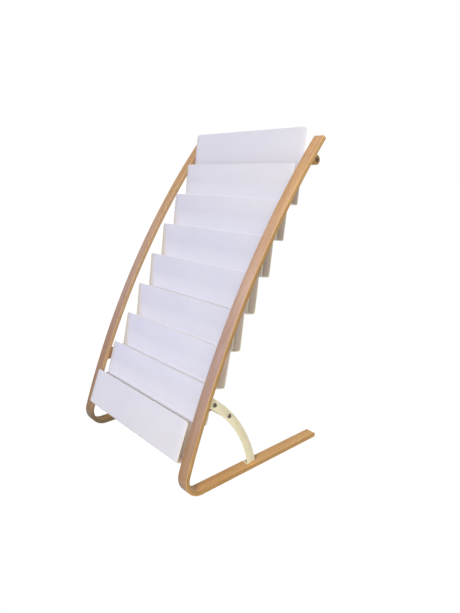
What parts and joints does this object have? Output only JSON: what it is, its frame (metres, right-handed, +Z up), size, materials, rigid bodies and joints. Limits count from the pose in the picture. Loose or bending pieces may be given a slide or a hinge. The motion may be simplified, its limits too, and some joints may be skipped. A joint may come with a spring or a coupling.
{
  "type": "brochure rack",
  "caption": "Free-standing brochure rack: sloping white trays between two bent laminated wood side frames, with curved steel stays to the feet.",
  "frame": {"origin": "on the floor, under the middle of the whole rack's width and depth", "axes": "+X to the right when facing the rack's front, +Y towards its back, +Z up"},
  "size_m": [0.753, 0.688, 1.2657],
  "materials": {
    "laminate": "clear lacquered bent laminate",
    "lug_wood": "clear lacquered solid wood",
    "bar_wood": "clear lacquered turned wood",
    "rail_ply": "clear lacquered plywood",
    "white_sheet": "satin white",
    "cream_steel": "fine powder coat",
    "dark_steel": "black oxide",
    "screw_steel": "zinc plated",
    "dowel_wood": "plain beech"
  },
  "bodies": {
    "root": {"left_side_frame": "laminate", "right_side_frame": "laminate", "upper_left_lug": "lug_wood", "upper_right_lug": "lug_wood", "lower_left_lug": "lug_wood", "lower_right_lug": "lug_wood", "top_crossbar": "bar_wood", "lower_crossbar": "bar_wood", "left_tray_rail": "rail_ply", "right_tray_rail": "rail_ply", "tray_1": "white_sheet", "tray_2": "white_sheet", "tray_3": "white_sheet", "tray_4": "white_sheet", "tray_5": "white_sheet", "tray_6": "white_sheet", "tray_7": "white_sheet", "tray_8": "white_sheet", "left_stay": "cream_steel", "right_stay": "cream_steel", "top_crossbar_bolts": "dark_steel", "lower_crossbar_bolts": "dark_steel", "lug_bolts": "dark_steel", "tray_screws": "screw_steel", "stay_foot_screws": "dark_steel", "rail_lock_screws": "screw_steel", "threaded_inserts": "screw_steel", "lug_dowels": "dowel_wood"}
  },
  "joints": []
}
